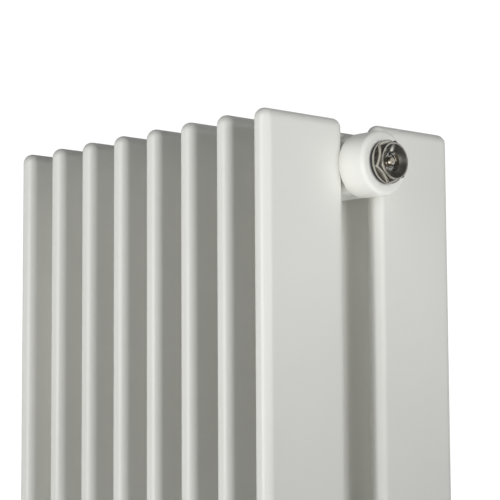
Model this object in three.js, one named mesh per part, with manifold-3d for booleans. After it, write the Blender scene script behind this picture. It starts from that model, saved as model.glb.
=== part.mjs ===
// Vertical double-row steel radiator with side sockets, an air-vent plug and wall clamps.
// Millimetres, +Z up. X runs along the headers, the front of the radiator faces -Y and the
// wall stands at the back. The origin is the bottom centre of the whole object's box.
//
// Two rows of flat tubes stand edge-on to the front. A rectangular header at the top and one
// at the bottom lie between the rows, and each tube opens into both headers through a port.

import * as THREE from 'three';
import { mergeVertices } from 'three/addons/utils/BufferGeometryUtils.js';
import Module from 'manifold-3d';

const wasm = await Module();
wasm.setup();

// ---- Driving dimensions -------------------------------------------------------------------

const TUBES_PER_ROW = 8;
const HEIGHT = 1800;
const PITCH = 32;            // from one tube of a row to the next
const TUBE_THICK = 12;       // across a tube, along X
const TUBE_DEPTH = 64;       // nose to nose of one tube, along Y
const TUBE_WALL = 1.25;
const TUBE_END_ROUND = 5.4;  // rounding of the closed tube ends
const ROW_GAP = 27.8;        // between the noses of the front and the rear row
const GAP = 0.3;             // clearance between pieces that touch
const OVERCUT = 1;           // how far a cutter reaches past what it cuts

const HEADER_HEIGHT = 35;
const HEADER_ROUND = 5;
const HEADER_WALL = 2;
const HEADER_AXIS = 27;      // from the tube ends to a header's axis
const HEADER_OVERRUN = 1.1;  // header tube beyond the centre of the last tube
const PORT_R = 4;
const CAP_THICK = 2.7;
const BAFFLE_THICK = 2;

const BOSS_R = 19;
const BOSS_REACH = 24.7;     // from the centre of the last tube to a boss's outer face
const BOSS_ROUND = 2.5;
const SOCKET_R = 10;         // G1/2 socket at its pitch diameter
const SOCKET_MOUTH = 10.8;

const SHANK_R = 9.7;         // G1/2 plug thread at its pitch diameter
const SHANK_LENGTH = 13;
const FLANGE_R = 12.9;
const FLANGE_BACK = 2;       // from the boss face to the back of the plug's flange
const FLANGE_FRONT = 3.7;
const HEX_ACROSS_FLATS = 22;
const HEX_SHOULDER = 6.1;    // where the chamfer leaves the hexagon's corners
const HEX_TOP = 7.1;         // where the chamfer meets the hexagon's front face
const HEX_FACE_R = 10.9;
const HEX_TURN = THREE.MathUtils.degToRad(18);
const NECK_R = 10.3;         // groove between the hexagon and the rim
const NECK_FRONT = 7.5;
const RIM_R = 10.9;
const RIM_BACK = 7.9;
const RIM_FRONT = 8.28;
const DISH_DEPTH = 1.2;      // shallow recess in the blanking plug's front
const DISH_LIP = 1.2;
const BLANK_WALL = 2.5;      // wall of the blanking plug's hollow shank
const RING_RECESS = 0.3;     // O-ring below the flange's rim
const CUP_R = 10.35;         // mouth of the plug's conical cup
const CUP_EDGE = 6;          // where the cone of the cup ends in a steeper pocket
const CUP_EDGE_R = 5.8;
const CUP_FLOOR_R = 5.4;
const CUP_FLOOR = 2.7;

const SCREW_R = 3.2;         // stem of the bleed screw
const SCREW_HEAD = 5;        // square for the bleed key
const SCREW_FRONT = 6.2;
const SEAT_HOLE_R = 1.3;
const SEAT_DEPTH = 8;        // from the boss face inwards to the bottom of the screw's bore
const SEAL_R = 2.4;
const SEAL_SPACE = 2.5;      // from the bottom of the bore to the tip of the screw
const SEAL_EDGE = 0.4;
const TIP_TAPER = 1.1;       // length of the cone behind the screw's tip
const TIP_R = 1.5;
const HEAD_CHAMFER_R = 2.3;  // where the head's chamfer starts on its front
const HEAD_CORNER_R = 3.3;   // the head's corners after turning, at the chamfer
const HEAD_CHAMFER = 0.8;
const AIR_HOLE_R = 0.8;

const WALL_DISTANCE = 32;    // rear noses to the wall
const CLAMP_FROM_END = 300;  // height of the clamps above and below the tube ends
const CLAMP_WIDTH = 50;
const CLAMP_HEIGHT = 40;
const CLAMP_GRIP = 2.1;      // how far a clamp piece reaches past the tip of a nose
const SADDLE_THICK = 4;
const BAR_THICK = 6;
const BAR_HEIGHT = 24;
const SHEET = 3;             // wall bracket sheet
const BRACKET_WIDTH = 40;
const FOOT_HEIGHT = 100;
const FOOT_HOLE_R = 4;
const FOOT_HOLE_Z = 38;
const BOLT_R = 4;
const BOLT_HEAD_R = 6.5;
const BOLT_HEAD = 8;
const BOLT_EDGE = 0.6;
const BOLT_KEY = 6;          // hexagon key, across flats
const BOLT_KEY_DEPTH = 4;
const NUT_ACROSS_FLATS = 13;
const NUT_THICK = 6.5;
const BOLT_END = 4;          // bolt beyond its nut

// Sides of round shapes, by their size.
const LARGE_ROUND = 24;
const MEDIUM_ROUND = 16;
const SMALL_ROUND = 8;
const PORT_SIDES = 6;
const HEADER_CORNER_STEPS = 3;
const NOSE_STEPS = 4;

// ---- Places that follow from them ---------------------------------------------------------

const NOSE_R = TUBE_THICK / 2;
const ROW_Y = (ROW_GAP + TUBE_DEPTH) / 2;
const REAR_FACE = ROW_GAP / 2 + TUBE_DEPTH;
const WALL_Y = REAR_FACE + WALL_DISTANCE;
const LAST_TUBE_X = (TUBES_PER_ROW - 1) * PITCH / 2;
const HEADER_DEPTH = ROW_GAP - 2 * GAP;
const CAP_FROM = HEADER_OVERRUN + GAP;
const BOSS_FROM = CAP_FROM + CAP_THICK + GAP;
const CLAMP_X = LAST_TUBE_X - 1.5 * PITCH;
const SIDES = [['left', -1], ['right', 1]];
const LEVELS = [['top', HEIGHT - HEADER_AXIS], ['bottom', HEADER_AXIS]];

// ---- Materials ----------------------------------------------------------------------------

const white = { color: 0xe4e5e0, roughness: 0.42, metalness: 0 };
const nickel = { color: 0xa9a79c, roughness: 0.2, metalness: 1 };
const brass = { color: 0xb79a63, roughness: 0.3, metalness: 1 };
const zinc = { color: 0xa6a8a8, roughness: 0.38, metalness: 1 };
const rubber = { color: 0x1c1c1b, roughness: 0.7, metalness: 0 };
const plastic = { color: 0xcfd0cc, roughness: 0.6, metalness: 0 };
const steel = { color: 0x8b8c8b, roughness: 0.45, metalness: 1 };

// ---- Solids -------------------------------------------------------------------------------

function solid(geometry) {
  const bare = geometry.index ? geometry.toNonIndexed() : geometry.clone();
  bare.deleteAttribute('normal');
  bare.deleteAttribute('uv');
  const merged = mergeVertices(bare, 1e-4);
  const vertProperties = new Float32Array(merged.attributes.position.array);
  const triVerts = new Uint32Array(merged.index.array);
  return new wasm.Manifold(new wasm.Mesh({ numProp: 3, vertProperties, triVerts }));
}

function surface(body) {
  const mesh = body.getMesh();
  const geometry = new THREE.BufferGeometry();
  geometry.setAttribute('position', new THREE.Float32BufferAttribute(mesh.vertProperties, 3));
  geometry.setIndex(Array.from(mesh.triVerts));
  geometry.computeVertexNormals();
  return geometry;
}

// A block between two corners.
function block(low, high) {
  const size = high.map((value, i) => value - low[i]);
  const middle = high.map((value, i) => (value + low[i]) / 2);
  return solid(new THREE.BoxGeometry(...size).translate(...middle));
}

// A turned piece whose axis is X. The profile is a closed loop of [along, radius] points
// with the material on its right, or a path that starts and ends on the axis.
function turned(profile, segments) {
  const points = profile.map(([along, radius]) => new THREE.Vector2(radius, along));
  return solid(new THREE.LatheGeometry(points, segments).rotateZ(-Math.PI / 2));
}

// A prism of a regular polygon along X, from one place to another.
function polygonBar(radius, sides, from, to, turn = 0) {
  const bar = new THREE.CylinderGeometry(radius, radius, to - from, sides);
  // The cylinder's first corner comes to lie towards +Y, and the turn then lifts it.
  bar.rotateY(-Math.PI / 2).rotateZ(-Math.PI / 2).rotateX(Math.PI / 2 + turn);
  return solid(bar.translate((from + to) / 2, 0, 0));
}

const roundBar = (radius, from, to, sides = MEDIUM_ROUND) => polygonBar(radius, sides, from, to);
const hexagonCorner = (acrossFlats) => acrossFlats / 2 / Math.cos(Math.PI / 6);

// The outline of a flat tube seen from above: two straight sides and two round noses.
function tubeOutline(depth, thick) {
  const r = thick / 2;
  const end = depth / 2 - r;
  const outline = new THREE.Shape();
  outline.absarc(0, end, r, 0, Math.PI);
  outline.absarc(0, -end, r, Math.PI, 2 * Math.PI);
  return outline;
}

function roundedRectangle(width, height, radius) {
  const x = width / 2 - radius;
  const y = height / 2 - radius;
  const outline = new THREE.Shape();
  outline.absarc(x, y, radius, 0, Math.PI / 2);
  outline.absarc(-x, y, radius, Math.PI / 2, Math.PI);
  outline.absarc(-x, -y, radius, Math.PI, 1.5 * Math.PI);
  outline.absarc(x, -y, radius, 1.5 * Math.PI, 2 * Math.PI);
  return outline;
}

// An outline drawn in Y and Z, extruded along X from one place to another.
function alongX(outline, from, to) {
  const options = { depth: to - from, bevelEnabled: false, curveSegments: HEADER_CORNER_STEPS };
  const bar = new THREE.ExtrudeGeometry(outline, options);
  // Turns the drawing's x to Y, its y to Z and its depth to X.
  const turn = new THREE.Matrix4().makeBasis(
    new THREE.Vector3(0, 1, 0), new THREE.Vector3(0, 0, 1), new THREE.Vector3(1, 0, 0));
  return solid(bar.applyMatrix4(turn).translate(from, 0, 0));
}

// ---- Scene --------------------------------------------------------------------------------

const radiator = new THREE.Group();
radiator.position.y = -(WALL_Y - REAR_FACE) / 2;

function place(name, geometry, look, x = 0, y = 0, z = 0, parent = radiator) {
  const mesh = new THREE.Mesh(geometry, new THREE.MeshStandardMaterial(look));
  mesh.name = name;
  mesh.position.set(x, y, z);
  parent.add(mesh);
  return mesh;
}

// ---- Tubes --------------------------------------------------------------------------------

// One flat tube: closed rounded ends, a water space, and a port into each header through the
// inner nose. It is drawn for the front row, whose inner nose faces +Y.
function tubeGeometry() {
  const shell = new THREE.ExtrudeGeometry(tubeOutline(TUBE_DEPTH, TUBE_THICK), {
    depth: HEIGHT - 2 * TUBE_END_ROUND,
    curveSegments: NOSE_STEPS,
    bevelThickness: TUBE_END_ROUND,
    bevelSize: TUBE_END_ROUND,
    bevelOffset: -TUBE_END_ROUND,
    bevelSegments: 2,
  });
  const bore = new THREE.ExtrudeGeometry(
    tubeOutline(TUBE_DEPTH - 2 * TUBE_WALL, TUBE_THICK - 2 * TUBE_WALL),
    { depth: HEIGHT - 2 * TUBE_END_ROUND, curveSegments: NOSE_STEPS, bevelEnabled: false });
  let tube = solid(shell.translate(0, 0, TUBE_END_ROUND));
  tube = tube.subtract(solid(bore.translate(0, 0, TUBE_END_ROUND)));
  for (const [, z] of LEVELS) {
    const port = new THREE.CylinderGeometry(PORT_R, PORT_R, 4 * TUBE_WALL, PORT_SIDES);
    tube = tube.subtract(solid(port.translate(0, TUBE_DEPTH / 2 - TUBE_WALL, z)));
  }
  return surface(tube);
}

const tube = tubeGeometry();
for (let i = 0; i < TUBES_PER_ROW; i += 1) {
  const x = i * PITCH - LAST_TUBE_X;
  place(`tube_front_${i + 1}`, tube, white, x, -ROW_Y, 0);
  const rear = place(`tube_rear_${i + 1}`, tube, white, x, ROW_Y, 0);
  rear.rotation.z = Math.PI;
}

// ---- Headers ------------------------------------------------------------------------------

const headerOutline = roundedRectangle(HEADER_DEPTH, HEADER_HEIGHT, HEADER_ROUND);
const headerInside = roundedRectangle(
  HEADER_DEPTH - 2 * HEADER_WALL, HEADER_HEIGHT - 2 * HEADER_WALL, HEADER_ROUND - HEADER_WALL);

function headerGeometry() {
  const end = LAST_TUBE_X + HEADER_OVERRUN;
  let header = alongX(headerOutline, -end, end);
  header = header.subtract(alongX(headerInside, -end - OVERCUT, end + OVERCUT));
  for (let i = 0; i < TUBES_PER_ROW; i += 1) {
    // One drill goes through both sides, to the front tube and to the rear tube.
    const drill = new THREE.CylinderGeometry(PORT_R, PORT_R, ROW_GAP, PORT_SIDES);
    header = header.subtract(solid(drill.translate(i * PITCH - LAST_TUBE_X, 0, 0)));
  }
  return surface(header);
}

// The plate that closes a header's end, drilled through to the boss.
function capGeometry() {
  const plate = alongX(headerOutline, CAP_FROM, CAP_FROM + CAP_THICK);
  const drill = roundBar(SOCKET_R, CAP_FROM - OVERCUT, BOSS_FROM + OVERCUT, LARGE_ROUND);
  return surface(plate.subtract(drill));
}

// The round socket on a header's end. Its back is cut away around the noses of the last
// tubes, so its middle sits down on the end plate.
function bossGeometry() {
  const roundedEdge = [30, 60].map((degrees) => {
    const angle = THREE.MathUtils.degToRad(degrees);
    return [
      BOSS_REACH - BOSS_ROUND * (1 - Math.sin(angle)),
      BOSS_R - BOSS_ROUND * (1 - Math.cos(angle)),
    ];
  });
  const mouth = SOCKET_MOUTH - SOCKET_R;
  const outside = [
    [BOSS_FROM, BOSS_R],
    [BOSS_REACH - BOSS_ROUND, BOSS_R],
    ...roundedEdge,
    [BOSS_REACH, BOSS_R - BOSS_ROUND],
    [BOSS_REACH, SOCKET_MOUTH],
    [BOSS_REACH - mouth, SOCKET_R],
    [BOSS_FROM, SOCKET_R],
    [BOSS_FROM, BOSS_R],
  ];
  let boss = turned(outside, LARGE_ROUND);
  const nose = new THREE.ExtrudeGeometry(
    tubeOutline(TUBE_DEPTH + 2 * GAP, TUBE_THICK + 2 * GAP),
    { depth: 3 * BOSS_R, curveSegments: 2 * NOSE_STEPS, bevelEnabled: false });
  for (const y of [-ROW_Y, ROW_Y]) {
    boss = boss.subtract(solid(nose.clone().translate(0, y, -1.5 * BOSS_R)));
  }
  return surface(boss);
}

const header = headerGeometry();
const cap = capGeometry();
const boss = bossGeometry();

// A group at each end of each header, whose +X points out of the radiator.
const ends = {};
for (const [level, z] of LEVELS) {
  place(`header_${level}`, header, white, 0, 0, z);
  for (const [side, sign] of SIDES) {
    const end = new THREE.Group();
    end.position.set(sign * LAST_TUBE_X, 0, z);
    end.rotation.z = sign < 0 ? Math.PI : 0;
    radiator.add(end);
    ends[`${level}_${side}`] = end;
    place(`header_cap_${level}_${side}`, cap, white, 0, 0, 0, end);
    place(`boss_${level}_${side}`, boss, white, 0, 0, 0, end);
  }
}

// The plate inside the bottom header that sends the water up one half of the radiator and
// down the other.
function baffleGeometry() {
  const inset = 2 * (HEADER_WALL + GAP);
  const outline = roundedRectangle(
    HEADER_DEPTH - inset, HEADER_HEIGHT - inset, HEADER_ROUND - HEADER_WALL - GAP);
  return surface(alongX(outline, -BAFFLE_THICK / 2, BAFFLE_THICK / 2));
}

place('flow_baffle', baffleGeometry(), steel, 0, 0, HEADER_AXIS);

// ---- Plugs --------------------------------------------------------------------------------

// Places along a plug are measured outwards from the boss's face.
const plugGroups = ['top_right', 'top_left'].map((end) => {
  const group = new THREE.Group();
  group.position.x = BOSS_REACH;
  ends[end].add(group);
  return group;
});

// The outer form that both plugs share: threaded shank, flange, chamfered hexagon, neck and rim.
function plugBlank() {
  const cornerR = hexagonCorner(HEX_ACROSS_FLATS);
  const hexagon = polygonBar(cornerR, 6, FLANGE_BACK + OVERCUT, HEX_TOP, HEX_TURN);
  const chamfer = turned([
    [0, 0],
    [0, cornerR + OVERCUT],
    [HEX_SHOULDER, cornerR],
    [HEX_TOP, HEX_FACE_R],
    [HEX_TOP, 0],
  ], LARGE_ROUND);
  const turnedPart = turned([
    [-SHANK_LENGTH, 0],
    [-SHANK_LENGTH, SHANK_R],
    [FLANGE_BACK, SHANK_R],
    [FLANGE_BACK, FLANGE_R],
    [FLANGE_FRONT, FLANGE_R],
    [FLANGE_FRONT, NECK_R],
    [NECK_FRONT, NECK_R],
    [RIM_BACK, RIM_R],
    [RIM_FRONT, RIM_R],
    [RIM_FRONT, 0],
  ], LARGE_ROUND);
  return turnedPart.add(hexagon.intersect(chamfer));
}

function ventBodyGeometry() {
  const cup = turned([
    [CUP_FLOOR, 0],
    [CUP_FLOOR, CUP_FLOOR_R],
    [CUP_EDGE, CUP_EDGE_R],
    [RIM_FRONT, CUP_R],
    [RIM_FRONT + OVERCUT, CUP_R],
    [RIM_FRONT + OVERCUT, 0],
  ], LARGE_ROUND);
  const bore = roundBar(SCREW_R + GAP, -SEAT_DEPTH, CUP_FLOOR + OVERCUT);
  const seatHole = roundBar(
    SEAT_HOLE_R, -SHANK_LENGTH - OVERCUT, -SEAT_DEPTH + OVERCUT, SMALL_ROUND);
  const airHole = roundBar(AIR_HOLE_R, -SEAT_DEPTH, CUP_FLOOR + OVERCUT, SMALL_ROUND);
  return surface(plugBlank()
    .subtract(cup)
    .subtract(bore)
    .subtract(seatHole)
    .subtract(airHole.translate([0, 0, SCREW_R + GAP])));
}

function blankPlugGeometry() {
  const dish = turned([
    [RIM_FRONT - DISH_DEPTH, 0],
    [RIM_FRONT - DISH_DEPTH, RIM_R - DISH_LIP - DISH_DEPTH],
    [RIM_FRONT, RIM_R - DISH_LIP],
    [RIM_FRONT + OVERCUT, RIM_R - DISH_LIP],
    [RIM_FRONT + OVERCUT, 0],
  ], LARGE_ROUND);
  const hollow = roundBar(SHANK_R - BLANK_WALL, -SHANK_LENGTH - OVERCUT, FLANGE_BACK);
  return surface(plugBlank().subtract(dish).subtract(hollow));
}

// The ring squeezed between the boss's face and the flange.
function oRingGeometry() {
  const r = FLANGE_BACK / 2 - GAP;
  const middle = FLANGE_R - RING_RECESS - r;
  const ring = new THREE.TorusGeometry(middle, r, SMALL_ROUND, LARGE_ROUND);
  return surface(solid(ring.rotateY(Math.PI / 2).translate(FLANGE_BACK / 2, 0, 0)));
}

// The screw that opens the vent: square head for a key, stem, and a nose that holds the seal.
function bleedScrewGeometry() {
  const tip = -SEAT_DEPTH + SEAL_SPACE;
  const stem = turned([
    [tip, 0],
    [tip, TIP_R],
    [tip + TIP_TAPER, SCREW_R],
    [CUP_FLOOR + GAP, SCREW_R],
    [CUP_FLOOR + 2 * GAP, SCREW_R - GAP],
    [CUP_FLOOR + 2 * GAP, 0],
  ], MEDIUM_ROUND);
  const head = polygonBar(
    SCREW_HEAD / Math.SQRT2, 4, CUP_FLOOR + GAP, SCREW_FRONT, Math.PI / 4);
  const relief = turned([
    [CUP_FLOOR, 0],
    [CUP_FLOOR, HEAD_CORNER_R],
    [SCREW_FRONT - HEAD_CHAMFER, HEAD_CORNER_R],
    [SCREW_FRONT, HEAD_CHAMFER_R],
    [SCREW_FRONT, 0],
  ], LARGE_ROUND);
  return surface(stem.add(head.intersect(relief)));
}

// The soft washer that the screw's nose presses over the seat hole. It travels with the
// screw but doesn't turn.
function bleedSealGeometry() {
  const bottom = -SEAT_DEPTH + GAP;
  const top = -SEAT_DEPTH + SEAL_SPACE - GAP;
  return surface(turned([
    [bottom, 0],
    [bottom, SEAL_R - SEAL_EDGE],
    [bottom + SEAL_EDGE, SEAL_R],
    [top, SEAL_R],
    [top, 0],
  ], MEDIUM_ROUND));
}

const [ventEnd, blankEnd] = plugGroups;
const oRing = oRingGeometry();
place('vent_body', ventBodyGeometry(), nickel, 0, 0, 0, ventEnd);
place('vent_o_ring', oRing, rubber, 0, 0, 0, ventEnd);
place('bleed_screw', bleedScrewGeometry(), brass, 0, 0, 0, ventEnd);
place('bleed_seal', bleedSealGeometry(), rubber, 0, 0, 0, ventEnd);
place('blank_plug', blankPlugGeometry(), nickel, 0, 0, 0, blankEnd);
place('blank_plug_o_ring', oRing, rubber, 0, 0, 0, blankEnd);

// ---- Wall clamps --------------------------------------------------------------------------

// A clamp grips two neighbouring rear tubes. Its parts are drawn around the bolt, whose axis
// runs along Y at x = 0 and z = 0, with Y measured as in the whole radiator.

const alongY = (body) => body.rotate([0, 0, 90]);

// A block with a round groove for each of the two tubes' noses and a hole for the bolt.
function gripGeometry(from, to, height, noseY) {
  let grip = block([-CLAMP_WIDTH / 2, from, -height / 2], [CLAMP_WIDTH / 2, to, height / 2]);
  for (const x of [-PITCH / 2, PITCH / 2]) {
    const r = NOSE_R + GAP;
    const nose = new THREE.CylinderGeometry(r, r, 2 * height, MEDIUM_ROUND);
    grip = grip.subtract(solid(nose.rotateX(Math.PI / 2).translate(x, noseY, 0)));
  }
  const drill = roundBar(BOLT_R + GAP, from - OVERCUT, to + OVERCUT);
  return surface(grip.subtract(alongY(drill)));
}

const SADDLE_BACK = REAR_FACE + SADDLE_THICK;
const BRACKET_FRONT = SADDLE_BACK + GAP;
const BAR_FRONT = ROW_GAP / 2 - BAR_THICK;

// The folded wall bracket: a box between the saddle and the wall, open to both sides, with a
// foot that reaches up and down along the wall for the screws.
function wallBracketGeometry() {
  const half = BRACKET_WIDTH / 2;
  const box = CLAMP_HEIGHT / 2;
  const foot = FOOT_HEIGHT / 2;
  let bracket = block([-half, BRACKET_FRONT, -box], [half, WALL_Y, box]);
  bracket = bracket.subtract(block(
    [-half - OVERCUT, BRACKET_FRONT + SHEET, -box + SHEET],
    [half + OVERCUT, WALL_Y - SHEET, box - SHEET]));
  bracket = bracket.add(block([-half, WALL_Y - SHEET, -foot], [half, WALL_Y, foot]));
  bracket = bracket.subtract(alongY(
    roundBar(BOLT_R + GAP, BRACKET_FRONT - OVERCUT, BRACKET_FRONT + SHEET + OVERCUT)));
  for (const z of [-FOOT_HOLE_Z, FOOT_HOLE_Z]) {
    const hole = alongY(roundBar(FOOT_HOLE_R, WALL_Y - SHEET - OVERCUT, WALL_Y + OVERCUT));
    bracket = bracket.subtract(hole.translate([0, 0, z]));
  }
  return surface(bracket);
}

const HEAD_BACK = BAR_FRONT - GAP;
const NUT_FROM = BRACKET_FRONT + SHEET + GAP;
const NUT_TO = NUT_FROM + NUT_THICK;

function boltGeometry() {
  const front = HEAD_BACK - BOLT_HEAD;
  const bolt = turned([
    [front, 0],
    [front, BOLT_HEAD_R - BOLT_EDGE],
    [front + BOLT_EDGE, BOLT_HEAD_R],
    [HEAD_BACK, BOLT_HEAD_R],
    [HEAD_BACK, BOLT_R],
    [NUT_TO + BOLT_END, BOLT_R],
    [NUT_TO + BOLT_END, 0],
  ], MEDIUM_ROUND);
  const socket = polygonBar(hexagonCorner(BOLT_KEY), 6, front - OVERCUT, front + BOLT_KEY_DEPTH);
  return surface(alongY(bolt.subtract(socket)));
}

function nutGeometry() {
  const nut = polygonBar(hexagonCorner(NUT_ACROSS_FLATS), 6, NUT_FROM, NUT_TO);
  const drill = roundBar(BOLT_R + GAP, NUT_FROM - OVERCUT, NUT_TO + OVERCUT);
  return surface(alongY(nut.subtract(drill)));
}

const saddle = gripGeometry(
  REAR_FACE - CLAMP_GRIP, SADDLE_BACK, CLAMP_HEIGHT, REAR_FACE - NOSE_R);
const bar = gripGeometry(
  BAR_FRONT, ROW_GAP / 2 + CLAMP_GRIP, BAR_HEIGHT, ROW_GAP / 2 + NOSE_R);
const wallBracket = wallBracketGeometry();
const bolt = boltGeometry();
const nut = nutGeometry();

for (const [level, z] of [['upper', HEIGHT - CLAMP_FROM_END], ['lower', CLAMP_FROM_END]]) {
  for (const [side, sign] of SIDES) {
    const x = sign * CLAMP_X;
    place(`wall_bracket_${level}_${side}`, wallBracket, white, x, 0, z);
    place(`tube_saddle_${level}_${side}`, saddle, plastic, x, 0, z);
    place(`clamp_bar_${level}_${side}`, bar, zinc, x, 0, z);
    place(`clamp_bolt_${level}_${side}`, bolt, zinc, x, 0, z);
    place(`clamp_nut_${level}_${side}`, nut, zinc, x, 0, z);
  }
}

export default radiator;
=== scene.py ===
"""The looks of a vertical double-row steel radiator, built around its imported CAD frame.

Every visible CAD node is replaced by a fine mesh that takes its place and size from the
node's box. Lengths are in metres, and MM turns millimetres into metres. Angles are in
radians where nothing else is said.
"""

import math

import bmesh
import bpy
from mathutils import Matrix, Vector


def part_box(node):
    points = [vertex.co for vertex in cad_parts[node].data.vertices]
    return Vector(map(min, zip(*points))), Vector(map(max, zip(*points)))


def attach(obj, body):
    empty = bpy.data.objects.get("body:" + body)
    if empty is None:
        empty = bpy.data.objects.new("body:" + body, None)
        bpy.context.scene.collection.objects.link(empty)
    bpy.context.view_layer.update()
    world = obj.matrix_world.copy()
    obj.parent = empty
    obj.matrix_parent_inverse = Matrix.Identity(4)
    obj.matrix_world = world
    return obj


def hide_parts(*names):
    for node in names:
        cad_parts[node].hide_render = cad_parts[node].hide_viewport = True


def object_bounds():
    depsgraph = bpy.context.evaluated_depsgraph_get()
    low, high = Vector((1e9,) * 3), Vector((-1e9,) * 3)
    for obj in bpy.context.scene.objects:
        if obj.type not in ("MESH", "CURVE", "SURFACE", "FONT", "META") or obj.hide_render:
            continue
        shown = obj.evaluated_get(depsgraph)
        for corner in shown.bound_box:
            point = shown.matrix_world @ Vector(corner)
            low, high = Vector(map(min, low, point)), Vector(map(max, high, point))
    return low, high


MM = 0.001
FIXED = "radiator"          # the body that holds everything but the bleed screw
TURN_STEPS = 96             # points round a turned piece: 12 divides it, for sharp corners

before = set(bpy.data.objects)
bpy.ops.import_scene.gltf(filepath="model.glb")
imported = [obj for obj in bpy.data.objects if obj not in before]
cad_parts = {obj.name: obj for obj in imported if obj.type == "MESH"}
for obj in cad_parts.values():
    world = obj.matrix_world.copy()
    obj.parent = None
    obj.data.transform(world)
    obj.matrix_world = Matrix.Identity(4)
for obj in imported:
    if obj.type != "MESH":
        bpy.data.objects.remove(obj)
CAD_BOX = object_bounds()


# ---- Places taken from the frame ------------------------------------------------------------

def centre(node):
    low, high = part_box(node)
    return (low + high) / 2


def size(node):
    low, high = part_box(node)
    return high - low


TUBES_PER_ROW = sum(name.startswith("tube_front_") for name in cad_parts)
LAST_TUBE = f"tube_front_{TUBES_PER_ROW}"
TUBE_THICK = size(LAST_TUBE).x
TUBE_DEPTH = size(LAST_TUBE).y
NOSE_R = TUBE_THICK / 2
LAST_TUBE_X = centre(LAST_TUBE).x
FRONT_ROW_Y = centre(LAST_TUBE).y
REAR_ROW_Y = centre(f"tube_rear_{TUBES_PER_ROW}").y
ROW_MIDDLE_Y = (FRONT_ROW_Y + REAR_ROW_Y) / 2
ROW_GAP = REAR_ROW_Y - FRONT_ROW_Y - TUBE_DEPTH
TOP = CAD_BOX[1].z
BOSS_FACE_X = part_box("boss_top_right")[1].x
BOSS_BACK_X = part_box("boss_top_right")[0].x
BOSS_R = size("boss_top_right").z / 2


# ---- Materials ------------------------------------------------------------------------------

class Surface:
    """A material being wired up: its nodes, its links and its shader."""

    def __init__(self, name, colour, roughness, metallic=0.0):
        self.material = bpy.data.materials.new(name)
        self.material.use_nodes = True
        self.tree = self.material.node_tree
        self.shader = self.tree.nodes["Principled BSDF"]
        self.shader.inputs["Base Color"].default_value = (*colour, 1)
        self.shader.inputs["Roughness"].default_value = roughness
        self.shader.inputs["Metallic"].default_value = metallic
        self.place = self.add("ShaderNodeTexCoord").outputs["Object"]
        self.height = None

    def add(self, kind, **settings):
        node = self.tree.nodes.new(kind)
        for key, value in settings.items():
            setattr(node, key, value)
        return node

    def link(self, source, target):
        self.tree.links.new(source, target)

    def noise(self, scale, detail=2.0, stretch=(1, 1, 1), place=None, roughness=0.5):
        """Noise with that many bumps to a metre, stretched along the axes."""
        mapping = self.add("ShaderNodeMapping")
        mapping.inputs["Scale"].default_value = stretch
        self.link(place or self.place, mapping.inputs["Vector"])
        noise = self.add("ShaderNodeTexNoise")
        noise.inputs["Scale"].default_value = scale
        noise.inputs["Detail"].default_value = detail
        noise.inputs["Roughness"].default_value = roughness
        self.link(mapping.outputs["Vector"], noise.inputs["Vector"])
        return noise.outputs["Fac"]

    def remap(self, value, low, high, source=(0.3, 0.7)):
        node = self.add("ShaderNodeMapRange")
        node.inputs["From Min"].default_value, node.inputs["From Max"].default_value = source
        node.inputs["To Min"].default_value, node.inputs["To Max"].default_value = low, high
        self.link(value, node.inputs["Value"])
        return node.outputs["Result"]

    def colours(self, value, stops):
        ramp = self.add("ShaderNodeValToRGB")
        elements = ramp.color_ramp.elements
        while len(elements) < len(stops):
            elements.new(0.5)
        for element, (position, colour) in zip(elements, stops):
            element.position = position
            element.color = (*colour, 1)
        self.link(value, ramp.inputs["Fac"])
        self.link(ramp.outputs["Color"], self.shader.inputs["Base Color"])

    def rough(self, value):
        self.link(value, self.shader.inputs["Roughness"])

    def bump(self, value, depth, strength=1.0):
        """Raises the surface by depth where value is 1. Later bumps lie on earlier ones."""
        node = self.add("ShaderNodeBump")
        node.inputs["Distance"].default_value = depth
        node.inputs["Strength"].default_value = strength
        self.link(value, node.inputs["Height"])
        if self.height:
            self.link(self.height, node.inputs["Normal"])
        self.height = node.outputs["Normal"]
        self.link(self.height, self.shader.inputs["Normal"])

    def around(self, axis_point):
        """The distance from a line along X through the point, as a texture place of its own."""
        shift = self.add("ShaderNodeVectorMath", operation="SUBTRACT")
        shift.inputs[1].default_value = axis_point
        self.link(self.place, shift.inputs[0])
        flatten = self.add("ShaderNodeVectorMath", operation="MULTIPLY")
        flatten.inputs[1].default_value = (0, 1, 1)
        self.link(shift.outputs["Vector"], flatten.inputs[0])
        radius = self.add("ShaderNodeVectorMath", operation="LENGTH")
        self.link(flatten.outputs["Vector"], radius.inputs[0])
        parts = self.add("ShaderNodeSeparateXYZ")
        self.link(shift.outputs["Vector"], parts.inputs[0])
        joined = self.add("ShaderNodeCombineXYZ")
        self.link(parts.outputs["X"], joined.inputs["X"])
        self.link(radius.outputs["Value"], joined.inputs["Y"])
        return joined.outputs["Vector"]


def powder_coat():
    """Satin white: a faint orange peel, soft cloudiness, and a fine grain in the gloss."""
    s = Surface("white_powder_coat", (0.865, 0.865, 0.82), 0.31)
    cloud = s.noise(9, detail=3)
    s.colours(cloud, [(0.25, (0.845, 0.847, 0.802)), (0.75, (0.885, 0.887, 0.844))])
    s.rough(s.remap(s.noise(160, detail=3), 0.29, 0.33))
    s.bump(s.noise(22, detail=1), 0.25 * MM, 0.35)
    s.bump(s.noise(520, detail=2), 0.03 * MM, 0.6)
    s.bump(s.noise(2600, detail=1), 0.006 * MM, 0.5)
    return s.material


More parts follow.
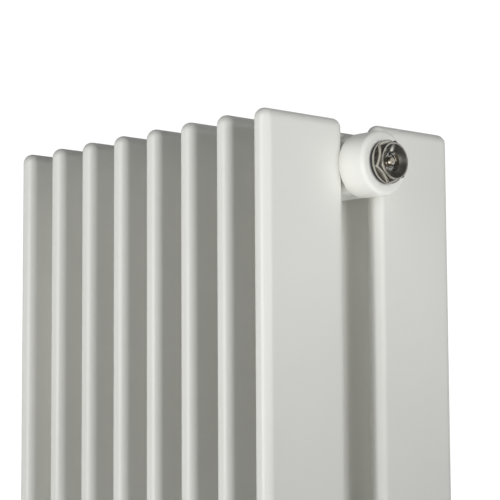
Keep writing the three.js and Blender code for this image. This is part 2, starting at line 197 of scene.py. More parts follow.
def turned_metal(name, colours, roughness, axis_point):
    """Plated metal with the fine rings that a lathe leaves, and a few stains."""
    s = Surface(name, colours[1], roughness, metallic=1.0)
    s.colours(s.noise(260, detail=4), [(0.35, colours[0]), (0.65, colours[1])])
    rings = s.noise(5200, detail=2, place=s.around(axis_point))
    smudge = s.noise(420, detail=4)
    s.rough(s.remap(smudge, roughness * 0.7, roughness * 1.5))
    s.bump(rings, 0.01 * MM, 0.7)
    s.bump(s.noise(900, detail=2), 0.012 * MM, 0.3)
    return s.material


def rough_shaded_nickel():
    """The nickel on the cup's floor: rougher than the turned nickel round it, and painted a darker
    grey, which is painted shade for the bottom of the cup.
    """
    # About half as bright as the nickel: this darker grey is painted shade, not another plating.
    s = Surface("rough_shaded_nickel", (0.33, 0.34, 0.33), 0.18, metallic=1.0)
    s.colours(s.noise(500, detail=4), [(0.35, (0.30, 0.31, 0.30)), (0.65, (0.36, 0.37, 0.36))])
    s.rough(s.remap(s.noise(800, detail=3), 0.14, 0.22))
    s.bump(s.noise(2600, detail=3), 0.01 * MM, 0.5)
    return s.material


def zinc():
    """Bright zinc plating: small spangle and dull handling marks."""
    s = Surface("zinc_plate", (0.60, 0.61, 0.63), 0.36, metallic=1.0)
    s.colours(s.noise(700, detail=5), [(0.35, (0.50, 0.51, 0.53)), (0.65, (0.68, 0.69, 0.71))])
    s.rough(s.remap(s.noise(300, detail=4), 0.26, 0.50))
    s.bump(s.noise(1800, detail=3), 0.02 * MM, 0.5)
    return s.material


def bare_steel():
    """Machined or cut steel with a thin film of oil and specks of rust."""
    s = Surface("bare_steel", (0.42, 0.41, 0.40), 0.38, metallic=1.0)
    s.colours(s.noise(480, detail=6, roughness=0.7), [
        (0.28, (0.20, 0.13, 0.09)), (0.36, (0.36, 0.34, 0.32)), (0.65, (0.47, 0.46, 0.45))])
    s.rough(s.remap(s.noise(240, detail=3), 0.28, 0.52))
    s.bump(s.noise(1500, detail=2, stretch=(4, 1, 1)), 0.02 * MM, 0.6)
    return s.material


def rubber():
    s = Surface("black_rubber", (0.018, 0.018, 0.017), 0.55)
    s.colours(s.noise(900, detail=3), [(0.3, (0.012, 0.012, 0.012)), (0.7, (0.030, 0.029, 0.028))])
    s.rough(s.remap(s.noise(500, detail=3), 0.45, 0.70))
    s.bump(s.noise(2400, detail=2), 0.02 * MM, 0.5)
    return s.material


def moulded_plastic():
    """Pale grey moulding with a fine spark-eroded grain."""
    s = Surface("grey_plastic", (0.66, 0.67, 0.65), 0.55)
    s.colours(s.noise(60, detail=2), [(0.3, (0.63, 0.64, 0.62)), (0.7, (0.69, 0.70, 0.68))])
    s.rough(s.remap(s.noise(400, detail=2), 0.48, 0.62))
    s.bump(s.noise(2200, detail=2), 0.03 * MM, 0.6)
    return s.material


VENT_AXIS = centre("vent_body")
WHITE = powder_coat()
NICKEL = turned_metal(
    "nickel_plate", ((0.50, 0.48, 0.43), (0.62, 0.60, 0.55)), 0.11, VENT_AXIS)
BRASS = turned_metal(
    "brass_screw", ((0.46, 0.42, 0.34), (0.57, 0.53, 0.45)), 0.16, VENT_AXIS)
# The cup floor's nickel, painted darker as painted shade in the recess.
ROUGH_SHADED_NICKEL = rough_shaded_nickel()
ZINC = zinc()
STEEL = bare_steel()
RUBBER = rubber()
PLASTIC = moulded_plastic()


# ---- Mesh code ------------------------------------------------------------------------------

def loft(rings, closed=False):
    """Vertices and faces of a skin over rings of equal length. Unless the last ring meets the
    first, the two ends are closed by flat faces."""
    count = len(rings[0])
    vertices = [point for ring in rings for point in ring]
    faces = []
    for k in range(len(rings) if closed else len(rings) - 1):
        here = k * count
        there = (k + 1) % len(rings) * count
        for j in range(count):
            turn = (j + 1) % count
            faces.append((here + j, here + turn, there + turn, there + j))
    if not closed:
        faces.append(tuple(reversed(range(count))))
        faces.append(tuple(range(len(vertices) - count, len(vertices))))
    return vertices, faces


def clean(mesh, weld=1e-6):
    """Joins points that coincide, drops faces without area and turns the faces outwards."""
    work = bmesh.new()
    work.from_mesh(mesh)
    bmesh.ops.remove_doubles(work, verts=work.verts, dist=weld)
    bmesh.ops.dissolve_degenerate(work, edges=work.edges, dist=weld)
    bmesh.ops.recalc_face_normals(work, faces=work.faces)
    work.to_mesh(mesh)
    work.free()


def new_object(name, vertices, faces):
    mesh = bpy.data.meshes.new(name)
    mesh.from_pydata([tuple(v) for v in vertices], [], faces)
    clean(mesh)
    made = bpy.data.objects.new(name, mesh)
    bpy.context.scene.collection.objects.link(made)
    return made


def cut(piece, *tools):
    """Cuts the tools' shapes out of the piece, and removes the tools."""
    for tool in tools:
        modifier = piece.modifiers.new("cut", "BOOLEAN")
        modifier.operation = "DIFFERENCE"
        modifier.solver = "EXACT"
        modifier.object = tool
        with bpy.context.temp_override(object=piece, active_object=piece):
            bpy.ops.object.modifier_apply(modifier=modifier.name)
        bpy.data.objects.remove(tool)


def dress(piece, material, body=FIXED, replaces=(), edge=None, sharp=35):
    """Shades the piece, with edges sharp from that many degrees, breaks those edges by edge
    metres, gives it its material and its body, and hides the CAD nodes that it stands for."""
    mesh = piece.data
    mesh.materials.append(material)
    mesh.shade_smooth()
    mesh.set_sharp_from_angle(angle=math.radians(sharp))
    if edge:
        bevel = piece.modifiers.new("broken_edges", "BEVEL")
        bevel.width = edge
        bevel.segments = 3
        bevel.limit_method = "ANGLE"
        bevel.angle_limit = math.radians(sharp)
        bevel.use_clamp_overlap = True
        bevel.harden_normals = False
        normals = piece.modifiers.new("even_shading", "WEIGHTED_NORMAL")
        normals.keep_sharp = True
    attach(piece, body)
    if replaces:
        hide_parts(*replaces)


def polygon_radius(across_flats, sides, turn):
    """The radius of a regular polygon as a function of the angle, with a corner at turn."""
    step = 2 * math.pi / sides

    def radius(angle):
        return across_flats / 2 / math.cos((angle - turn) % step - step / 2)

    return radius


def arc(centre_along, centre_radius, r, start, end, steps):
    """Points (along, radius) of an arc. At 0 degrees it looks along the axis, at 90 out."""
    points = []
    for k in range(steps + 1):
        angle = math.radians(start + (end - start) * k / steps)
        along = centre_along + r * math.cos(angle)
        points.append((along, centre_radius + r * math.sin(angle)))
    return points


def turned(name, profile, place, closed=False, turn=0.0):
    """A piece turned about its own X axis. An entry of the profile is (along, radius), and
    either may be a function of the angle. place puts the piece into the row frame."""
    rings = []
    for along, radius in profile:
        ring = []
        for k in range(TURN_STEPS):
            angle = turn + 2 * math.pi * k / TURN_STEPS
            x = along(angle) if callable(along) else along
            r = radius(angle) if callable(radius) else radius
            ring.append(place @ Vector((x, r * math.cos(angle), r * math.sin(angle))))
        rings.append(ring)
    return new_object(name, *loft(rings, closed))


def facing(point, direction):
    """The place whose own +X points along the direction: a sign of X, or back for +Y."""
    turns = {1: 0.0, -1: math.pi, "back": math.pi / 2}
    return Matrix.Translation(point) @ Matrix.Rotation(turns[direction], 4, "Z")


def rounded_rectangle(width, height, radius, steps=8, support=0.6 * MM):
    """Points of a rectangle with round corners. Extra points beside the corners keep the
    flat sides flat when they are shaded."""
    points = []
    for quarter, (sx, sy) in enumerate([(1, 1), (-1, 1), (-1, -1), (1, -1)]):
        cx = sx * (width / 2 - radius)
        cy = sy * (height / 2 - radius)
        start = quarter * math.pi / 2
        before = (math.sin(start), -math.cos(start))
        after = (-math.cos(start), -math.sin(start))
        first = (cx + radius * math.cos(start), cy + radius * math.sin(start))
        last = (cx - radius * math.sin(start), cy + radius * math.cos(start))
        points.append((first[0] + support * before[0], first[1] + support * before[1]))
        for k in range(steps + 1):
            angle = start + math.pi / 2 * k / steps
            points.append((cx + radius * math.cos(angle), cy + radius * math.sin(angle)))
        points.append((last[0] + support * after[0], last[1] + support * after[1]))
    return points


# ---- Tubes ----------------------------------------------------------------------------------

END_ROUND = 0.97 * NOSE_R   # the closed ends are rounded almost to a ridge
SUPPORT = 0.8 * MM          # from a rounding to the extra points that keep its side flat


def tube_ring(x, y, z, inset, steps=20):
    """The flat tube's outline at a height, drawn in by inset: two flanks and two noses."""
    flank = TUBE_DEPTH / 2 - NOSE_R
    r = NOSE_R - inset
    ring = []
    for side in (1, -1):
        ring.append(Vector((x + side * r, y + side * (flank - SUPPORT), z)))
        for k in range(steps + 1):
            angle = math.pi * k / steps
            across = side * r * math.cos(angle)
            out = side * (flank + r * math.sin(angle))
            ring.append(Vector((x + across, y + out, z)))
        ring.append(Vector((x - side * r, y + side * (flank - SUPPORT), z)))
    return ring


def tube(node, steps=10):
    middle = centre(node)
    low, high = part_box(node)
    stations = []
    for k in range(steps + 1):
        angle = math.pi / 2 * k / steps
        stations.append((END_ROUND * (1 - math.cos(angle)), END_ROUND * (1 - math.sin(angle))))
    stations.append((END_ROUND + SUPPORT, 0.0))
    rings = [tube_ring(middle.x, middle.y, low.z + rise, inset) for rise, inset in stations]
    rings += [
        tube_ring(middle.x, middle.y, high.z - rise, inset) for rise, inset in reversed(stations)]
    piece = new_object(f"{node}_skin", *loft(rings))
    dress(piece, WHITE, replaces=[node], sharp=60)


def tubes():
    for row in ("front", "rear"):
        for i in range(1, TUBES_PER_ROW + 1):
            tube(f"tube_{row}_{i}")


# ---- Headers, end plates and bosses ---------------------------------------------------------

HEADER_ROUND = 6 * MM
HEADER_TAPER = 1.25 * MM    # how far the header's end draws in to run into the boss
JOINT_GAP = 0.3 * MM        # left between the CAD solids, and closed here
HEADER_HEIGHT = size("header_top").z
BOSS_ROUND = 2.5 * MM
BOSS_BACK_ROUND = 2.0 * MM
BORE_R = 11 * MM            # the painted boss up to its threaded lining
THREAD_MAJOR = 10.48 * MM   # G1/2
THREAD_MINOR = 9.32 * MM
THREAD_PITCH = 1.814 * MM
THREAD_FLAT = 0.12          # of a pitch: each crest and root
THREAD_FLANK = 0.36
DRILL_REACH = 10 * MM       # how far a drill passes the header's end
END_SIDES = {"left": -1, "right": 1}


def bar_along_x(name, z, stations):
    """A bar between the rows with the header's section, drawn in by inset at each x."""
    rings = []
    for x, inset in stations:
        outline = rounded_rectangle(
            ROW_GAP - 2 * inset, HEADER_HEIGHT - 2 * inset, HEADER_ROUND - inset)
        rings.append([Vector((x, ROW_MIDDLE_Y + u, z + v)) for u, v in outline])
    return new_object(name, *loft(rings))


def header(level):
    node = f"header_{level}"
    z = centre(node).z
    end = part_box(node)[1].x
    piece = bar_along_x(f"{node}_skin", z, [(-end, 0), (end, 0)])
    dress(piece, WHITE, replaces=[node])
    for side, sign in END_SIDES.items():
        cap = f"header_cap_{level}_{side}"
        low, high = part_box(cap)
        inner, outer = sorted((low.x, high.x), key=abs)
        plate = bar_along_x(f"{cap}_skin", z, [
            (inner - sign * JOINT_GAP, 0), (outer, HEADER_TAPER / 2),
            (outer + sign * (JOINT_GAP + BOSS_BACK_ROUND / 2), HEADER_TAPER)])
        if level == "bottom":
            drill = turned("drill", [(-DRILL_REACH, BORE_R), (DRILL_REACH, BORE_R)],
                           facing((outer, ROW_MIDDLE_Y, z), sign))
            cut(plate, drill)
        dress(plate, WHITE, replaces=[cap])


def thread_profile(start, end, base_r, other_r, pitch):
    """The crests and roots of a thread from start to end, as grooves side by side. It
    starts and ends at base_r."""
    turns = int(abs(end - start) / pitch)
    step = math.copysign(pitch, end - start)
    other = THREAD_FLAT + THREAD_FLANK
    points = []
    for k in range(turns):
        here = start + k * step
        points += [(here, base_r), (here + THREAD_FLAT * step, base_r)]
        points += [(here + other * step, other_r), (here + (other + THREAD_FLAT) * step, other_r)]
    return points + [(start + turns * step, base_r), (end, base_r)]


def boss(level, side):
    node = f"boss_{level}_{side}"
    sign = END_SIDES[side]
    z = centre(node).z
    face = sign * BOSS_FACE_X
    place = facing((face, ROW_MIDDLE_Y, z), sign)
    back = BOSS_BACK_X - BOSS_FACE_X
    lip = 0.5 * MM
    profile = [(back, BORE_R), (back, BOSS_R - BOSS_BACK_ROUND - SUPPORT)]
    profile += arc(back + BOSS_BACK_ROUND, BOSS_R - BOSS_BACK_ROUND, BOSS_BACK_ROUND, 180, 90, 8)
    profile += [(-BOSS_ROUND - SUPPORT, BOSS_R)]
    profile += arc(-BOSS_ROUND, BOSS_R - BOSS_ROUND, BOSS_ROUND, 90, 0, 10)
    profile += [(0, BOSS_R - BOSS_ROUND - SUPPORT), (0, BORE_R + lip + SUPPORT)]
    profile += arc(-lip, BORE_R + lip, lip, 0, -90, 4)
    piece = turned(f"{node}_skin", profile, place, closed=True)
    dress(piece, WHITE, replaces=[node], sharp=50)
    if level == "bottom":
        mouth = 0.9 * MM
        lining = [(back, THREAD_MINOR), (back, BORE_R), (-mouth * 0.6, BORE_R)]
        lining += [(-mouth, BORE_R - 0.2 * MM)]
        threads = thread_profile(back, -2 * mouth, THREAD_MINOR, THREAD_MAJOR, THREAD_PITCH)
        sleeve = turned(f"socket_thread_{side}", lining + threads[:0:-1], place, closed=True)
        dress(sleeve, STEEL, sharp=20)


WELD_R = 0.4 * MM
WELD_REACH = 2.4 * MM       # from the middle of a tube's nose
WELD_STAND = 0.2 * MM       # from the header's side


def weld_spline(curve, points, r):
    """Adds a closed bead through the points, with the low ripples that welding leaves."""
    spline = curve.splines.new("POLY")
    spline.points.add(len(points) - 1)
    spline.use_cyclic_u = True
    for k, point in enumerate(points):
        spline.points[k].co = (*point, 1)
        spline.points[k].radius = r * (1 + 0.10 * math.sin(2.4 * k) + 0.05 * math.sin(5.3 * k))


def joint_weld(x, y, z, steps=56):
    """Round the line where a tube's nose meets the flat side of a header."""
    half_height = HEADER_HEIGHT / 2 - HEADER_ROUND
    points = []
    for k in range(steps):
        angle = 2 * math.pi * k / steps
        u = math.copysign(abs(math.cos(angle)) ** 0.5, math.cos(angle))
        v = math.copysign(abs(math.sin(angle)) ** 0.7, math.sin(angle))
        points.append(Vector((x + WELD_REACH * u, y, z + half_height * v)))
    return points


def welds(level):
    curve = bpy.data.curves.new(f"welds_{level}", "CURVE")
    curve.dimensions = "3D"
    curve.bevel_depth = 1.0
    curve.bevel_resolution = 3
    z = centre(f"header_{level}").z
    for i in range(1, TUBES_PER_ROW + 1):
        for row, side in (("front", -1), ("rear", 1)):
            x = centre(f"tube_{row}_{i}").x
            y = ROW_MIDDLE_Y + side * (ROW_GAP / 2 + WELD_STAND)
            weld_spline(curve, joint_weld(x, y, z), WELD_R)
    piece = bpy.data.objects.new(f"welds_{level}", curve)
    bpy.context.scene.collection.objects.link(piece)
    curve.materials.append(WHITE)
    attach(piece, FIXED)


# ---- Plugs ----------------------------------------------------------------------------------

# Places along a plug are measured outwards from the face of its boss.
FLANGE_R = size("vent_body").z / 2
FLANGE_BACK = 2.0 * MM
FLANGE_FRONT = 3.7 * MM
HEX_ACROSS = 22 * MM
HEX_TURN = math.radians(18)
HEX_SHOULDER = 6.1 * MM     # where the chamfer leaves the hexagon's corners
HEX_TOP = 7.1 * MM          # where the chamfer meets the hexagon's front face
HEX_FACE_R = 10.9 * MM
NECK_R = 10.3 * MM
NECK_FRONT = 7.5 * MM
RIM_R = 10.9 * MM
RIM_BACK = 7.9 * MM
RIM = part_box("vent_body")[1].x - BOSS_FACE_X
RIM_WALL = 0.8 * MM
CUP_EDGE = 6.0 * MM         # where the cup's cone ends in a steeper pocket
CUP_EDGE_R = 5.8 * MM
BOWL_SAG = 0.13 * MM        # how far the cone is hollowed
CUP_FLOOR = 3.9 * MM
CUP_FLOOR_R = 5.4 * MM
SEAT_R = 3.5 * MM           # the hole in the cup's floor, down to the screw's seat
SEAT = -8 * MM
WATERWAY_R = 1.3 * MM
AIR_HOLE_R = 0.75 * MM
AIR_HOLE_RISE = 4.4 * MM    # above the plug's axis
DISH = 1.2 * MM             # depth of the blanking plug's face
FINE_EDGE = 0.1 * MM        # the breaks of turned edges
SHANK_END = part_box("vent_body")[0].x - BOSS_FACE_X

hexagon = polygon_radius(HEX_ACROSS, 6, HEX_TURN)
HEX_CORNER_R = hexagon(HEX_TURN)


def chamfer_along(angle):
    """Where the conical chamfer cuts the hexagon's side at that angle."""
    share = (HEX_CORNER_R - hexagon(angle)) / (HEX_CORNER_R - HEX_FACE_R)
    return HEX_SHOULDER + (HEX_TOP - HEX_SHOULDER) * share


def plug_place(sign, rise=0.0):
    """On the face of a top boss and looking outwards, rise above its axis."""
    return facing((sign * BOSS_FACE_X, ROW_MIDDLE_Y, VENT_AXIS.z + rise), sign)


def plug_outside():
    """From the shank's inner end, over the thread, flange, hexagon and neck, to the rim."""
    edge = 0.35 * MM
    lead = 0.6 * MM
    play = 0.15 * MM
    profile = [(SHANK_END, THREAD_MINOR - lead)]
    profile += thread_profile(
        SHANK_END + lead, -lead, THREAD_MINOR, THREAD_MAJOR - play, THREAD_PITCH)
    profile += [(FLANGE_BACK, THREAD_MINOR), (FLANGE_BACK, FLANGE_R - edge)]
    profile += arc(FLANGE_BACK + edge, FLANGE_R - edge, edge, 180, 90, 4)
    profile += arc(FLANGE_FRONT - edge, FLANGE_R - edge, edge, 90, 0, 4)
    profile += [(FLANGE_FRONT, hexagon), (chamfer_along, hexagon), (HEX_TOP, HEX_FACE_R)]
    profile += [(HEX_TOP, NECK_R), (NECK_FRONT, NECK_R), (RIM_BACK, RIM_R)]
    profile += arc(RIM - FINE_EDGE, RIM_R - FINE_EDGE, FINE_EDGE, 90, 0, 3)
    return profile


def vent_body():
    mouth = RIM_R - RIM_WALL
    bowl = []
    for share in (0.25, 0.5, 0.75):
        sag = BOWL_SAG * 4 * share * (1 - share)
        bowl.append((CUP_EDGE + (RIM - CUP_EDGE) * share - sag,
                     CUP_EDGE_R + (mouth - CUP_EDGE_R) * share))
    profile = plug_outside() + [
        (RIM, mouth), *bowl[::-1], (CUP_EDGE, CUP_EDGE_R),
        (CUP_FLOOR + FINE_EDGE, CUP_FLOOR_R), (CUP_FLOOR, CUP_FLOOR_R - FINE_EDGE),
        (CUP_FLOOR, SEAT_R + FINE_EDGE), (CUP_FLOOR - 4 * FINE_EDGE, SEAT_R), (SEAT, SEAT_R),
        (SEAT, WATERWAY_R), (SHANK_END, WATERWAY_R)]
    piece = turned("vent_body_skin", profile, plug_place(1), closed=True, turn=HEX_TURN)
    air_hole = turned("air_hole", [(-1 * MM, AIR_HOLE_R), (4 * MM, AIR_HOLE_R)],
                      plug_place(1, AIR_HOLE_RISE))
    cut(piece, air_hole)
    dress(piece, NICKEL, replaces=["vent_body"], sharp=18)
    # The cup's floor gets the darker nickel: painted shade at the bottom of the recess.
    piece.data.materials.append(ROUGH_SHADED_NICKEL)
    floor_x = BOSS_FACE_X + CUP_FLOOR
    for face in piece.data.polygons:
        if abs(face.center.x - floor_x) < FINE_EDGE / 2 and face.normal.x > 0.9:
            face.material_index = 1


def blank_plug():
    bottom = RIM - DISH - 2 * FINE_EDGE
    profile = plug_outside() + [
        (RIM, RIM_R - DISH), (RIM - DISH, RIM_R - 2 * DISH), (bottom, 1 * MM), (bottom, 0)]
    piece = turned("blank_plug_skin", profile, plug_place(-1), turn=HEX_TURN)
    dress(piece, NICKEL, replaces=["blank_plug"], sharp=18)


def o_ring(node, sign):
    """The rubber ring squeezed flat between the boss and the flange."""
    half = FLANGE_BACK / 2
    bulge = 0.15 * MM
    middle = size(node).z / 2 - half + bulge
    steps = 24
    flatness = 0.8              # 1 would keep the section round
    profile = []
    for k in range(steps):
        angle = 2 * math.pi * k / steps
        along = half + half * math.copysign(abs(math.cos(angle)) ** flatness, math.cos(angle))
        profile.append((along, middle + half * math.sin(angle)))
    piece = turned(f"{node}_skin", profile, plug_place(sign), closed=True)
    dress(piece, RUBBER, replaces=[node], sharp=60)


SQUARE = 5 * MM
SQUARE_TURN = math.radians(17)
SQUARE_CORNER_R = 2.85 * MM
COLLAR_R = 3.3 * MM
SCREW_POINT_R = 1.5 * MM
SCREW_CHAMFER = 0.9 * MM
DRILL_R = 0.8 * MM
SCREW_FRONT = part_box("bleed_screw")[1].x - BOSS_FACE_X
SCREW_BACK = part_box("bleed_screw")[0].x - BOSS_FACE_X


def bleed_screw():
    """A blunt cone and a collar in the plug's hole, and a square head for the key. The
    head is turned down at its corners and chamfered, with a centre drill in its end."""
    square = polygon_radius(SQUARE, 4, SQUARE_TURN)

    def head(angle):
        return min(square(angle), SQUARE_CORNER_R)

    def end_face(angle):
        return min(square(angle) - 0.6 * MM, 2.0 * MM)

    base = CUP_FLOOR + FINE_EDGE / 2
    profile = [
        (SCREW_BACK, 0), (SCREW_BACK, SCREW_POINT_R), (SCREW_BACK + 1.1 * MM, COLLAR_R),
        (base - FINE_EDGE, COLLAR_R), (base, COLLAR_R - FINE_EDGE), (base, head),
        (SCREW_FRONT - SCREW_CHAMFER, head), (SCREW_FRONT, end_face), (SCREW_FRONT, DRILL_R),
        (SCREW_FRONT - DRILL_R / 2, DRILL_R / 2), (SCREW_FRONT - 0.5 * MM, 0)]
    piece = turned("bleed_screw_skin", profile, plug_place(1), turn=SQUARE_TURN)
    dress(piece, BRASS, body="bleed_screw", replaces=["bleed_screw"], sharp=25)


# ---- Wall clamps ----------------------------------------------------------------------------

PITCH = centre("tube_front_2").x - centre("tube_front_1").x
CLEARANCE = 0.3 * MM        # between a groove and its tube
BOLT_HOLE_R = 4.3 * MM
PAST = 5 * MM               # how far a cutting shape passes what it cuts


def grip_outline(x, near, far, width, nose_y, steps=20):
    """A block seen from above, with a round groove for each of two noses. near is the
    grooved side and far the plain one."""
    r = NOSE_R + CLEARANCE
    inward = 1 if far > near else -1
    depth = abs(near - nose_y)
    half_angle = math.acos(min(depth / r, 1))
    half_width = r * math.sin(half_angle)
    points = [(x - width / 2, far), (x - width / 2, near)]
    for groove in (x - PITCH / 2, x + PITCH / 2):
        points.append((groove - half_width, near))
        for k in range(1, steps):
            angle = -half_angle + 2 * half_angle * k / steps
            points.append((groove + r * math.sin(angle), nose_y + inward * r * math.cos(angle)))
        points.append((groove + half_width, near))
    return points + [(x + width / 2, near), (x + width / 2, far)]


def bolt_drill(x, z, from_y, to_y, r):
    return turned("drill", [(0, r), (to_y - from_y, r)], facing((x, from_y, z), "back"))


def grip(node, near, far, nose_y, material):
    """A saddle or clamp bar: the grooved block, its bolt hole and its broken edges."""
    middle = centre(node)
    low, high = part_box(node)
    outline = grip_outline(middle.x, near, far, high.x - low.x, nose_y)
    rings = [[Vector((px, py, z)) for px, py in outline] for z in (low.z, high.z)]
    piece = new_object(f"{node}_skin", *loft(rings))
    cut(piece, bolt_drill(middle.x, middle.z, low.y - PAST, high.y + PAST, BOLT_HOLE_R))
    dress(piece, material, replaces=[node], edge=0.6 * MM, sharp=40)


SHEET = 3 * MM
SHEET_BEND = 4 * MM
FOOT_HOLE_Z = 38 * MM
FOOT_HOLE_R = 4 * MM
FOOT_ROUND = 6 * MM
BOX_HEIGHT = size("tube_saddle_upper_left").z


def wall_bracket(node):
    """Folded sheet: a box between the saddle and the wall, on a foot with two screw holes."""
    low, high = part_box(node)
    x, z = centre(node).x, centre(node).z
    half = BOX_HEIGHT / 2

    def prism(name, points, from_x, to_x):
        rings = [[Vector((px, py, pz)) for py, pz in points] for px in (from_x, to_x)]
        return new_object(name, *loft(rings))

    def folded(front, back, reach, r, steps=8):
        """An outline whose two front corners are bent round by r."""
        points = [(back, z - reach), (front + r, z - reach)]
        for k in range(1, steps):
            angle = math.pi / 2 * k / steps
            points.append((front + r - r * math.sin(angle), z - reach + r - r * math.cos(angle)))
        points += [(front, z - reach + r), (front, z + reach - r)]
        for k in range(1, steps):
            angle = math.pi / 2 * k / steps
            points.append((front + r - r * math.cos(angle), z + reach - r + r * math.sin(angle)))
        return points + [(front + r, z + reach), (back, z + reach)]

    box = prism(f"{node}_skin", folded(low.y, high.y - SHEET, half, SHEET_BEND), low.x, high.x)
    hollow = prism("hollow", folded(
        low.y + SHEET, high.y - SHEET + 1 * MM, half - SHEET, SHEET_BEND - SHEET),
        low.x - PAST, high.x + PAST)
    cut(box, hollow, bolt_drill(x, z, low.y - PAST, low.y + 2 * SHEET, BOLT_HOLE_R))
    dress(box, WHITE, replaces=[node], edge=0.5 * MM, sharp=40)

    outline = rounded_rectangle(high.x - low.x, high.z - low.z, FOOT_ROUND)
    rings = [[Vector((x + u, y, z + v)) for u, v in outline] for y in (high.y - SHEET, high.y)]
    foot = new_object(f"{node}_foot", *loft(rings))
    for rise in (-FOOT_HOLE_Z, FOOT_HOLE_Z):
        cut(foot, bolt_drill(x, z + rise, high.y - 3 * SHEET, high.y + SHEET, FOOT_HOLE_R))
    dress(foot, WHITE, edge=0.5 * MM, sharp=40)


BOLT_R = 4 * MM
BOLT_HEAD_R = 6.5 * MM
BOLT_HEAD = 8 * MM
BOLT_PITCH = 1.25 * MM
BOLT_THREAD = 25 * MM
BOLT_THREAD_DEPTH = 0.75 * MM
KEY_ACROSS = 6 * MM
KEY_DEPTH = 3.8 * MM
KEY_LEAD = 0.3 * MM
NUT_ACROSS = 13 * MM
NUT_LEAD = 0.9 * MM


def clamp_bolt(node):
    """Socket screw: a round head with a hexagon for the key, a plain shank and a thread."""
    low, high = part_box(node)
    place = facing((centre(node).x, low.y, centre(node).z), "back")
    length = high.y - low.y
    key = polygon_radius(KEY_ACROSS, 6, 0)
    edge = 0.6 * MM
    profile = [(KEY_DEPTH + 0.4 * MM, 0), (KEY_DEPTH, key), (KEY_LEAD, key)]
    profile += [(0, lambda angle: key(angle) + KEY_LEAD), (0, BOLT_HEAD_R - edge)]
    profile += arc(edge, BOLT_HEAD_R - edge, edge, 180, 90, 4)
    profile += [(BOLT_HEAD, BOLT_HEAD_R), (BOLT_HEAD, BOLT_R)]
    profile += [(length - BOLT_THREAD - 1 * MM, BOLT_R)]
    profile += thread_profile(
        length - BOLT_THREAD, length - edge, BOLT_R, BOLT_R - BOLT_THREAD_DEPTH, BOLT_PITCH)
    profile += [(length, BOLT_R - 0.9 * MM), (length, 0)]
    dress(turned(f"{node}_skin", profile, place), ZINC, replaces=[node], sharp=25)


def clamp_nut(node):
    low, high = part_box(node)
    place = facing((centre(node).x, low.y, centre(node).z), "back")
    thick = high.y - low.y
    flats = polygon_radius(NUT_ACROSS, 6, 0)
    corner = flats(0)
    face_r = NUT_ACROSS / 2 * 0.97

    def front_chamfer(angle):
        return NUT_LEAD * (flats(angle) - face_r) / (corner - face_r)

    def back_chamfer(angle):
        return thick - front_chamfer(angle)

    bore = BOLT_R + 0.15 * MM
    edge = 0.5 * MM
    profile = [
        (edge, bore), (0, bore + edge), (0, face_r), (front_chamfer, flats),
        (back_chamfer, flats), (thick, face_r), (thick, bore + edge), (thick - edge, bore)]
    dress(turned(f"{node}_skin", profile, place, closed=True), ZINC, replaces=[node], sharp=18)


def clamp(which):
    saddle = f"tube_saddle_{which}"
    bar = f"clamp_bar_{which}"
    reach = TUBE_DEPTH / 2 - NOSE_R
    low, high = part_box(saddle)
    grip(saddle, low.y, high.y, REAR_ROW_Y + reach, PLASTIC)
    low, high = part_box(bar)
    grip(bar, high.y, low.y, REAR_ROW_Y - reach, ZINC)
    wall_bracket(f"wall_bracket_{which}")
    clamp_bolt(f"clamp_bolt_{which}")
    clamp_nut(f"clamp_nut_{which}")


# ---- Stage ----------------------------------------------------------------------------------

CAMERA_LENS = 128.94        # millimetres, for a sensor 36 wide
# Metres from the last tube's middle, the middle between the rows, and the top.
CAMERA_PLACE = (0.73133, -0.75227, -0.18418)
CAMERA_TURN = (47.5735, 5.9087, -0.3277)   # degrees to the left, up, and of roll


def camera():
    """Close to the near top corner, a little below it and looking up past the socket."""
    data = bpy.data.cameras.new("camera")
    data.lens = CAMERA_LENS
    data.sensor_width = 36
    data.clip_start = 0.05
    data.clip_end = 60
    made = bpy.data.objects.new("camera", data)
    bpy.context.scene.collection.objects.link(made)
    x, y, z = CAMERA_PLACE
    made.location = (LAST_TUBE_X + x, ROW_MIDDLE_Y + y, TOP + z)
    yaw, pitch, roll = (math.radians(turn) for turn in CAMERA_TURN)
    ahead = Vector((
        -math.sin(yaw) * math.cos(pitch), math.cos(yaw) * math.cos(pitch), math.sin(pitch)))
    level = Vector((math.cos(yaw), math.sin(yaw), 0))
    above = level.cross(ahead)
    right = math.cos(roll) * level + math.sin(roll) * above
    up = math.cos(roll) * above - math.sin(roll) * level
    made.rotation_mode = "QUATERNION"
    made.rotation_quaternion = Matrix((right, up, -ahead)).transposed().to_quaternion()
    bpy.context.scene.camera = made


BACKDROP = 1.05             # just above white
LIT_POINT = Vector((LAST_TUBE_X, FRONT_ROW_Y, TOP - 0.1))   # near the plug, in the front row

# Softboxes turned to LIT_POINT: where they stand from it, their width, their power in watts,
# and whether they show in gloss and polished metal.
SOFTBOXES = (
    ((0.12, -1.40, -0.79), 0.5, 4.2, True),
    ((0.12, -1.40, 0.0), 0.5, 5.5, True),
    ((0.07, -0.80, 0.45), 0.5, 1.7, True),
    ((0.40, 0.03, 0.10), 0.25, 0.74, False),
    ((1.40, 0.12, 0.0), 0.5, 3.1, False),
)
# Two more, before and beside the lower half. They shine level, and narrowly enough to leave
# the top alone.
LOW_SOFTBOXES = ((0.12, -1.40, -1.20), (1.40, 0.12, -1.20))
LOW_WIDTH = 0.5
LOW_POWER = 1.3
LOW_SPREAD = math.radians(60)

